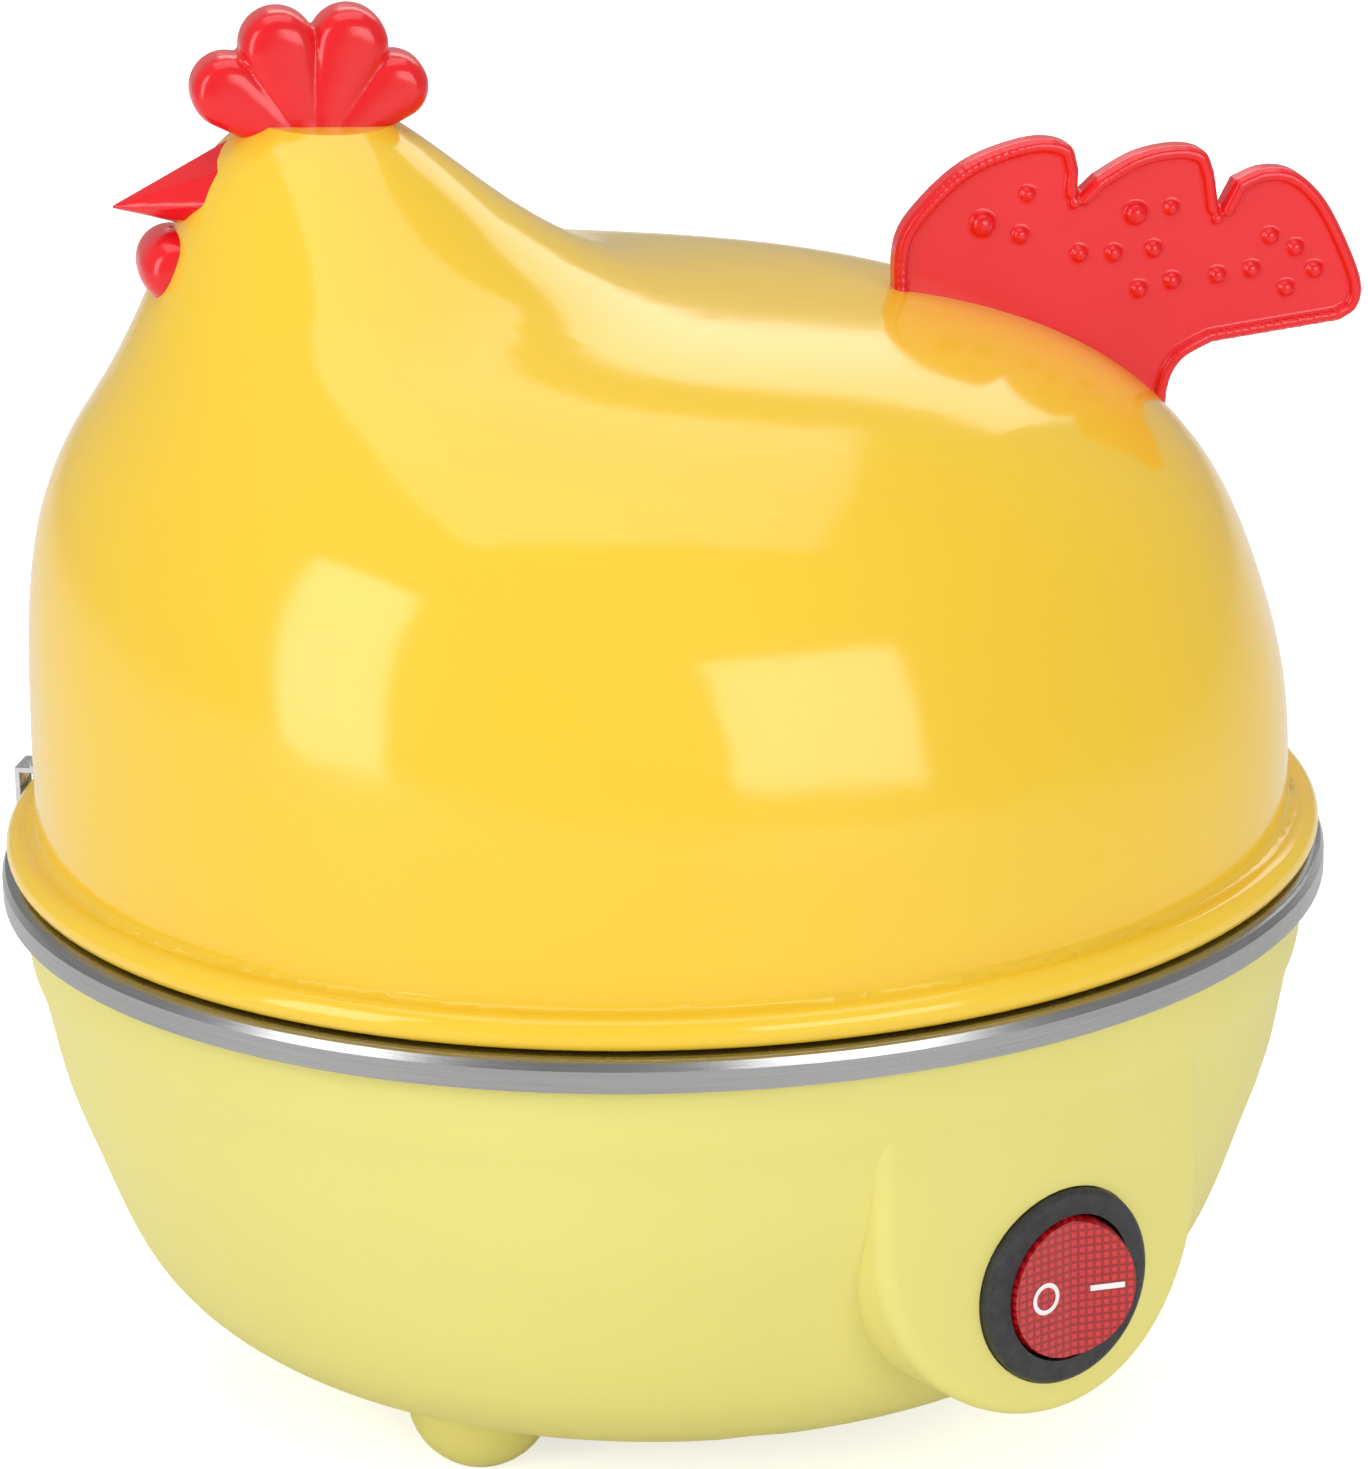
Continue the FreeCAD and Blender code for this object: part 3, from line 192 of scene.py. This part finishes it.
def rocker_red():
    """Translucent red with a fine square grid under the skin."""
    m = Material("rocker_red", (0.80, 0.02, 0.02), 0.2)
    m.set("Transmission Weight", 0.25)
    m.set("Subsurface Weight", 0.3)
    m.set("Subsurface Radius", (0.004, 0.001, 0.001))
    m.set("Coat Weight", 0.5)
    m.set("Coat Roughness", 0.08)
    mix = None
    for axis in ("X", "Z"):
        wave = m.node("ShaderNodeTexWave", bands_direction=axis)
        wave.inputs["Scale"].default_value = 1.0
        wave.inputs["Distortion"].default_value = 0.0
        m.link(m.scaled(even(330.0)), wave.inputs["Vector"])
        if mix is None:
            mix = wave.outputs["Fac"]
        else:
            both = m.node("ShaderNodeMath", operation="MINIMUM")
            m.link(mix, both.inputs[0])
            m.link(wave.outputs["Fac"], both.inputs[1])
            mix = both.outputs["Value"]
    ramp = m.node("ShaderNodeValToRGB")
    ramp.color_ramp.elements[0].color = (0.42, 0.002, 0.006, 1.0)
    ramp.color_ramp.elements[1].position = 0.6
    ramp.color_ramp.elements[1].color = (0.90, 0.02, 0.03, 1.0)
    m.link(mix, ramp.inputs["Fac"])
    m.link(ramp.outputs["Color"], m.shader.inputs["Base Color"])
    m.bump(mix, 0.25, 0.0002)
    return m.item


finish = {
    "lid": lid_plastic(),
    "bowl": bowl_plastic(),
    "red": red_plastic(),
    "pan": brushed_steel("pan_steel", (0.42, 0.42, 0.42), 0.26),
    "tray": brushed_steel("tray_steel", (0.68, 0.68, 0.67), 0.32, (2400.0, 60.0, 60.0)),
    "grip": moulded("grip_plastic", (0.04, 0.04, 0.042), 0.5),
    "screw": cast_metal("screw_steel", (0.62, 0.62, 0.60), 0.3),
    "spreader": cast_metal("spreader_aluminium", (0.72, 0.72, 0.71), 0.45),
    "element": brushed_steel("element_sheath", (0.36, 0.35, 0.33), 0.4, even(700.0)),
    "thermostat": moulded("thermostat_phenolic", (0.05, 0.05, 0.05), 0.55, 900.0, 0.3),
    "spring_steel": brushed_steel("spring_steel", (0.56, 0.56, 0.55), 0.3),
    "fuse": moulded("fuse_sleeve", (0.72, 0.70, 0.62), 0.55, 600.0, 0.4),
    "switch_black": grained_black(),
    "brass": cast_metal("brass", (0.78, 0.56, 0.22), 0.32),
    "lamp": moulded("lamp_glass", (0.85, 0.30, 0.12), 0.12, 200.0, 0.05),
    "gland": moulded("gland_plastic", (0.03, 0.03, 0.032), 0.5),
    "block": moulded("block_plastic", (0.78, 0.77, 0.72), 0.5),
    "lead_brown": moulded("lead_brown", (0.16, 0.06, 0.025), 0.5, 500.0, 0.2),
    "lead_blue": moulded("lead_blue", (0.03, 0.12, 0.42), 0.5, 500.0, 0.2),
    "lead_green": moulded("lead_green", (0.12, 0.38, 0.05), 0.5, 500.0, 0.2),
    "hinge": cast_metal("hinge_chrome", (0.78, 0.78, 0.79), 0.1),
    "rocker": rocker_red(),
    "mark": moulded("mark_ink", (0.86, 0.84, 0.84), 0.4, 900.0, 0.05),
}


def dress(piece, slot):
    piece.data.materials.clear()
    piece.data.materials.append(finish[slot])


for part in frame["record"]["subparts"]:
    dress(nodes[part["node"]], part["material_slot"])

# ---------------------------------------------------------------- mesh helpers
def piece_from(name, verts, faces, slot, body, smooth=True):
    mesh = bpy.data.meshes.new(name)
    mesh.from_pydata([tuple(v) for v in verts], [], faces)
    mesh.validate()
    piece = bpy.data.objects.new(name, mesh)
    bpy.context.scene.collection.objects.link(piece)
    for polygon in mesh.polygons:
        polygon.use_smooth = smooth
    dress(piece, slot)
    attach(piece, body)
    return piece


def grid_faces(rows, columns, closed, first=0):
    """Quads between rows of points; closed joins the last column to the first."""
    faces = []
    span = columns if closed else columns - 1
    for i in range(rows - 1):
        for j in range(span):
            k = (j + 1) % columns
            a = first + i * columns
            faces.append((a + j, a + k, a + columns + k, a + columns + j))
    return faces


def spline(points, steps):
    """Points of a smooth curve through the given points, steps to a span."""
    out = []
    last = len(points) - 1
    for i in range(last):
        p1, p2 = points[i], points[i + 1]
        p0 = points[i - 1] if i else [2 * a - b for a, b in zip(p1, p2)]
        p3 = points[i + 2] if i + 2 <= last else [2 * a - b for a, b in zip(p2, p1)]
        for k in range(steps):
            t = k / steps
            out.append([0.5 * (2 * b + (c - a) * t + (2 * a - 5 * b + 4 * c - d) * t * t
                               + (3 * b - a - 3 * c + d) * t ** 3)
                        for a, b, c, d in zip(p0, p1, p2, p3)])
    out.append(list(points[-1]))
    return out


def flattened(solids, name, slot, body, voxel, rounds, *replaced):
    """Joins overlapping closed meshes into one soft moulding by a voxel remesh."""
    bm = bmesh.new()
    for verts, faces in solids:
        made = [bm.verts.new(v) for v in verts]
        for face in faces:
            bm.faces.new([made[i] for i in face])
    bmesh.ops.recalc_face_normals(bm, faces=bm.faces)
    mesh = bpy.data.meshes.new(name)
    bm.to_mesh(mesh)
    bm.free()
    piece = bpy.data.objects.new(name, mesh)
    bpy.context.scene.collection.objects.link(piece)
    remesh = piece.modifiers.new("remesh", "REMESH")
    remesh.mode = "VOXEL"
    remesh.voxel_size = voxel * MM
    soft = piece.modifiers.new("soft", "SMOOTH")
    soft.factor = 0.5
    soft.iterations = rounds
    bpy.context.view_layer.update()
    graph = bpy.context.evaluated_depsgraph_get()
    done = bpy.data.meshes.new_from_object(piece.evaluated_get(graph))
    piece.modifiers.clear()
    piece.data = done
    for polygon in done.polygons:
        polygon.use_smooth = True
    dress(piece, slot)
    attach(piece, body)
    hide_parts(*replaced)
    return piece


def pebble(x, y, z, radii, power=2.0, steps=48):
    """Superellipsoid at a place in mm, closed, as (points, faces)."""
    def bent(value):
        return math.copysign(abs(value) ** (2.0 / power), value)

    rows = steps // 2
    verts = [at(x, y - radii[1], z)]
    for i in range(1, rows):
        a = -math.pi / 2 + math.pi * i / rows
        for j in range(steps):
            b = 2 * math.pi * j / steps
            verts.append(at(x + radii[0] * bent(math.cos(a)) * math.cos(b),
                            y + radii[1] * bent(math.sin(a)),
                            z + radii[2] * bent(math.cos(a)) * math.sin(b)))
    verts.append(at(x, y + radii[1], z))
    faces = grid_faces(rows - 1, steps, True, 1)
    top = len(verts) - 1
    for j in range(steps):
        k = (j + 1) % steps
        faces.append((0, 1 + k, 1 + j))
        faces.append((top, top - steps + j, top - steps + k))
    return verts, faces


def slab(outline, half):
    """Closed plate in the hen's middle plane from an outline of (x, z)."""
    count = len(outline)
    verts = [at(x, side * half, z) for side in (-1, 1) for x, z in outline]
    faces = [tuple(range(count)), tuple(range(2 * count - 1, count - 1, -1))]
    for i in range(count):
        k = (i + 1) % count
        faces.append((i, count + i, count + k, k))
    return verts, faces


# ---------------------------------------------------------------- hen trim
ray_length = 0.4                # metres, from well outside the hen


def surface_of(node):
    """Search tree of a CAD node's surface."""
    mesh = nodes[node].data
    return BVHTree.FromPolygons([v.co for v in mesh.vertices], [tuple(p.vertices) for p in mesh.polygons])


def skin_deep(piece, direction):
    """Draws what would lie inside the hen up to just under the lid's outer skin."""
    tree = surface_of("lid_shell")
    along = Vector(direction)
    for vertex in piece.data.vertices:
        start = vertex.co - along * (vertex.co.dot(along) + ray_length)
        hit = tree.ray_cast(start, along)[0]
        if hit is not None:
            depth = (vertex.co - hit).dot(along)
            if depth > MM:
                vertex.co -= along * (depth - MM)


def comb():
    """Four pillowy lobes that run down to the head, one moulding with creases between them."""
    middle = (-39.3, 153.6)
    solids = []
    for x, z, radius in [(-48.8, 161.4, 4.3), (-42.7, 166.1, 4.55), (-34.5, 166.0, 4.55), (-29.4, 161.0, 3.9)]:
        steps = 14
        for k in range(steps):
            share = 0.8 * k / (steps - 1)
            size = radius * (1.0 - 0.62 * share)
            solids.append(pebble(x + (middle[0] - x) * share, 0, z + (middle[1] - z) * share,
                                 (size, 4.75, size), 3.6, 32))
    solids.append(pebble(-39.2, 0, 156.6, (8.6, 4.3, 5.6), 4.0))
    skin_deep(flattened(solids, "comb_moulding", "red", "lid", 0.3, 3, "comb"), (0, 0, -1))


def tail():
    """Plate with a rounded raised border and domed studs on both faces."""
    floor = 1.35                    # half the plate between the borders
    border_place = 0.85             # middle of the border, in from the outline
    border_step = 0.8
    border_bead = (0.78, 2.2, 0.78)
    stud_place = 1.3
    outline = []
    run = []
    for point in tail_outline + tail_outline[:1]:
        run.append(point[:2])
        if len(point) == 3 and len(run) > 1:
            outline += [tuple(p) for p in spline(run, 8)[:-1]]
            run = [point[:2]]
    solids = [slab(outline, floor)]
    inner = inset(outline, border_place)
    for p, q in zip(inner, inner[1:] + inner[:1]):
        count = max(1, int(math.hypot(q[0] - p[0], q[1] - p[1]) / border_step))
        for k in range(count):
            t = k / count
            solids.append(pebble(p[0] + (q[0] - p[0]) * t, 0, p[1] + (q[1] - p[1]) * t,
                                 border_bead, 4.0, 10))
    for x, z, radius in tail_studs:
        for side in (-1, 1):
            solids.append(pebble(x, side * stud_place, z, (radius, radius * 0.85, radius), 2.0, 20))
    skin_deep(flattened(solids, "tail_moulding", "red", "lid", 0.22, 2, "tail"), (0, 0, -1))


def inset(outline, depth):
    """Moves an outline inwards; it runs clockwise seen from the front."""
    moved = []
    count = len(outline)
    for i, p in enumerate(outline):
        a, b = outline[i - 1], outline[(i + 1) % count]
        dx, dz = b[0] - a[0], b[1] - a[1]
        size = math.hypot(dx, dz) or 1.0
        moved.append((p[0] + dz / size * depth, p[1] - dx / size * depth))
    return moved


tail_outline = [
    # x, z in mm, and a third value at a corner
    (29.2, 131.0, 0), (29.7, 138.8), (33.0, 143.6), (38.6, 148.0), (46.0, 150.2), (50.6, 149.4),
    (51.8, 146.4, 0), (51.6, 143.1, 0), (53.9, 145.2, 0), (58.8, 147.7), (63.8, 148.5), (67.2, 147.6),
    (68.4, 145.0, 0), (69.0, 140.2, 0), (71.0, 143.9, 0), (74.5, 145.1), (78.3, 144.5), (81.8, 141.3),
    (84.6, 136.2), (86.7, 130.6), (86.2, 127.4), (84.0, 125.9, 0), (68.1, 124.2, 0), (64.4, 122.2),
    (62.7, 118.7), (62.6, 113.0, 0), (50.0, 120.0, 0)]

tail_studs = [
    # x, z, radius
    (40.0, 140.4, 1.5), (58.7, 140.6, 1.4), (45.5, 143.7, 0.9), (44.6, 138.8, 1.0), (63.1, 141.0, 0.9),
    (51.8, 136.1, 1.0), (56.0, 135.9, 1.0), (60.9, 136.1, 1.0), (59.1, 131.3, 1.0), (63.2, 132.1, 1.0),
    (68.8, 132.4, 1.0), (73.0, 132.9, 1.0), (75.3, 136.8, 1.0), (78.4, 135.2, 1.0), (80.8, 132.4, 1.0),
    (77.3, 130.3, 1.0)]


def beak():
    """Pointed beak with a soft ridge, and the wattle with its tab, one moulding."""
    back = -46.0
    ring = [(157.0, 0.0), (154.6, -7.4), (150.0, -11.4), (145.6, -7.4), (143.4, 0.0), (145.6, 7.4),
            (150.0, 11.4), (154.6, 7.4)]
    verts = [at(back, y, z) for z, y in ring] + [at(-63.0, 0, 148.3)]
    faces = [tuple(range(8))] + [(i, (i + 1) % 8, 8) for i in range(8)]
    solids = [(verts, faces)]
    for x, z, size in [(-56.0, 141.4, 4.2), (-55.2, 139.9, 4.0), (-54.8, 138.4, 3.4), (-55.0, 137.0, 2.5),
                       (-55.6, 135.6, 1.5), (-55.9, 134.8, 1.0)]:
        solids.append(pebble(x, 0, z, (size, 1.4 + 1.35 * size, size), 3.0, 32))
    skin_deep(flattened(solids, "beak_moulding", "red", "lid", 0.3, 3, "beak"), (1, 0, 0))


def steel_band():
    """Rolled rim: a bright rounded top edge, a flat brushed face and a slightly wavy lower edge."""
    profile = [(79.2, 64.2), (79.75, 64.35), (79.95, 64.8), (79.95, 65.6), (79.95, 66.4), (79.8, 67.1),
               (79.45, 67.65), (78.9, 67.95), (78.2, 68.0)]
    count = len(profile)
    columns = 720
    wavy_rows = 4.0

    def wavy(k, angle):
        """Shift of a point inwards and up, which fades out above the lower edge."""
        spot = polar(80, angle) * 260.0
        wave = noise.noise(spot) * 0.10 + noise.noise(spot * 4.0) * 0.05
        share = max(0.0, 1.0 - k / wavy_rows)
        return (-abs(wave) * 0.5 * share, wave * share * 1.5)

    verts = []
    for i in range(columns):
        angle = 360.0 * i / columns
        for k, (radius, z) in enumerate(profile):
            extra = wavy(k, angle)
            verts.append(polar(radius + extra[0], angle, z + extra[1]))
    faces = []
    for i in range(columns):
        here, there = i * count, (i + 1) % columns * count
        for k in range(count - 1):
            faces.append((here + k, there + k, there + k + 1, here + k + 1))
    piece_from("steel_band", verts, faces, "pan", "base")


switch_angle = 26.0             # degrees round from the front
switch_height = 33.0
switch_pivot = 76.06            # pivot line from the hen's axis
mark_skins = (0.06, -0.15)      # front and back of a printed mark, from the rocker's face


def on_rocker(name, shape, slot):
    """Thin printed mark on the rocker's front; shape is (points across and up in mm, faces)."""
    a = math.radians(switch_angle)
    across = Vector((math.cos(a), math.sin(a), 0))
    out = Vector((math.sin(a), -math.cos(a), 0))
    middle = polar(switch_pivot, switch_angle, switch_height)
    tree = surface_of("switch_rocker")
    points, front = shape
    verts = []
    for lift in mark_skins:
        for u, w in points:
            start = middle + across * u * MM + Vector((0, 0, w * MM)) + out * 0.05
            verts.append(tree.ray_cast(start, -out)[0] + out * lift * MM)
    count = len(points)
    faces = list(front) + [tuple(i + count for i in reversed(f)) for f in front]
    piece_from(name, verts, faces, slot, "rocker", False)


def ring_mark(u, w, inner, outer, steps=48):
    points = []
    for radius in (inner, (inner + outer) / 2, outer):
        for j in range(steps):
            a = 2 * math.pi * j / steps
            points.append((u + radius * math.cos(a), w + radius * math.sin(a)))
    return points, grid_faces(3, steps, True)


def bar_mark(u, w, half, thick, steps=12):
    points = []
    for j in range(3):
        for i in range(steps):
            points.append((u - half + 2 * half * i / (steps - 1), w - thick + thick * j))
    return points, grid_faces(3, steps, False)


comb()
tail()
beak()
steel_band()
on_rocker("mark_off", ring_mark(-3.9, -0.2, 1.35, 1.9), "mark")
on_rocker("mark_on", bar_mark(3.8, -0.2, 1.9, 0.34), "mark")

# ---------------------------------------------------------------- lights, floor, camera
camera_height = 17.76           # degrees above level
camera_turn = -9.5              # degrees from the front
camera_far = 683.0
camera_target = (0.0, 0.0, 74.15)
camera_right = 2.87
camera_up = 5.0
camera_roll = 1.34
camera_lens = 137.92


def place_camera():
    e = math.radians(camera_height)
    a = math.radians(camera_turn)
    back = Vector((math.sin(a) * math.cos(e), -math.cos(a) * math.cos(e), math.sin(e)))
    right = Vector((math.cos(a), math.sin(a), 0.0))
    up = back.cross(right)
    spot = at(*camera_target) + (back * camera_far + right * camera_right + up * camera_up) * MM
    r = math.radians(camera_roll)
    across = right * math.cos(r) - up * math.sin(r)
    upright = right * math.sin(r) + up * math.cos(r)
    data = bpy.data.cameras.new("camera")
    data.lens = camera_lens
    data.clip_start = 0.01
    data.clip_end = 20.0
    item = bpy.data.objects.new("camera", data)
    bpy.context.scene.collection.objects.link(item)
    turn = Matrix((across, upright, back)).transposed().to_4x4()
    item.matrix_world = Matrix.Translation(spot) @ turn
    bpy.context.scene.camera = item


area_lights = [
    # name, place, aim, width and height in metres, power in watts
    ("window_left", (-0.95, -0.42, 0.38), (0, 0, 0.09), (0.42, 0.95), 5.0),
    ("window_right", (0.36, -0.92, 0.36), (0, 0, 0.08), (0.62, 0.5), 3.6),
    ("overhead", (0.0, 0.1, 1.1), (0, 0, 0), (1.0, 1.0), 5.0),
    ("rim_back", (0.3, 0.9, 0.7), (0, 0, 0.08), (0.9, 0.4), 2.0),
]


def area_light(name, spot, aim, size, power):
    data = bpy.data.lights.new(name, "AREA")
    data.shape = "RECTANGLE"
    data.size, data.size_y = size
    data.energy = power
    item = bpy.data.objects.new(name, data)
    bpy.context.scene.collection.objects.link(item)
    item.location = spot
    item.rotation_euler = (Vector(aim) - Vector(spot)).to_track_quat("-Z", "Y").to_euler()


def studio():
    bm = bmesh.new()
    bmesh.ops.create_grid(bm, x_segments=8, y_segments=8, size=3.0)
    mesh = bpy.data.meshes.new("floor")
    bm.to_mesh(mesh)
    bm.free()
    floor = bpy.data.objects.new("floor", mesh)
    bpy.context.scene.collection.objects.link(floor)
    floor.location.z = -0.0002
    m = Material("floor_paper", (0.90, 0.90, 0.90), 0.9)
    m.bump(m.noise(even(900.0)), 0.02, 0.0003)
    m.set("Emission Color", (1.0, 1.0, 1.0, 1.0))
    seen = m.node("ShaderNodeLightPath")
    glow = m.node("ShaderNodeMath", operation="MULTIPLY")
    glow.inputs[1].default_value = 0.62
    m.link(seen.outputs["Is Camera Ray"], glow.inputs[0])
    m.link(glow.outputs["Value"], m.shader.inputs["Emission Strength"])
    mesh.materials.append(m.item)
    world = bpy.data.worlds.new("studio")
    world.use_nodes = True
    tree = world.node_tree
    backdrop = tree.nodes["Background"]
    backdrop.inputs["Color"].default_value = (1.0, 1.0, 1.0, 1.0)
    backdrop.inputs["Strength"].default_value = 0.38
    bright = tree.nodes.new("ShaderNodeBackground")
    bright.inputs["Strength"].default_value = 1.0
    path = tree.nodes.new("ShaderNodeLightPath")
    mix = tree.nodes.new("ShaderNodeMixShader")
    tree.links.new(path.outputs["Is Camera Ray"], mix.inputs["Fac"])
    tree.links.new(backdrop.outputs["Background"], mix.inputs[1])
    tree.links.new(bright.outputs["Background"], mix.inputs[2])
    tree.links.new(mix.outputs["Shader"], tree.nodes["World Output"].inputs["Surface"])
    bpy.context.scene.world = world
    for name, spot, aim, size, power in area_lights:
        area_light(name, spot, aim, size, power)


place_camera()
studio()
bpy.context.scene.view_settings.view_transform = "Standard"
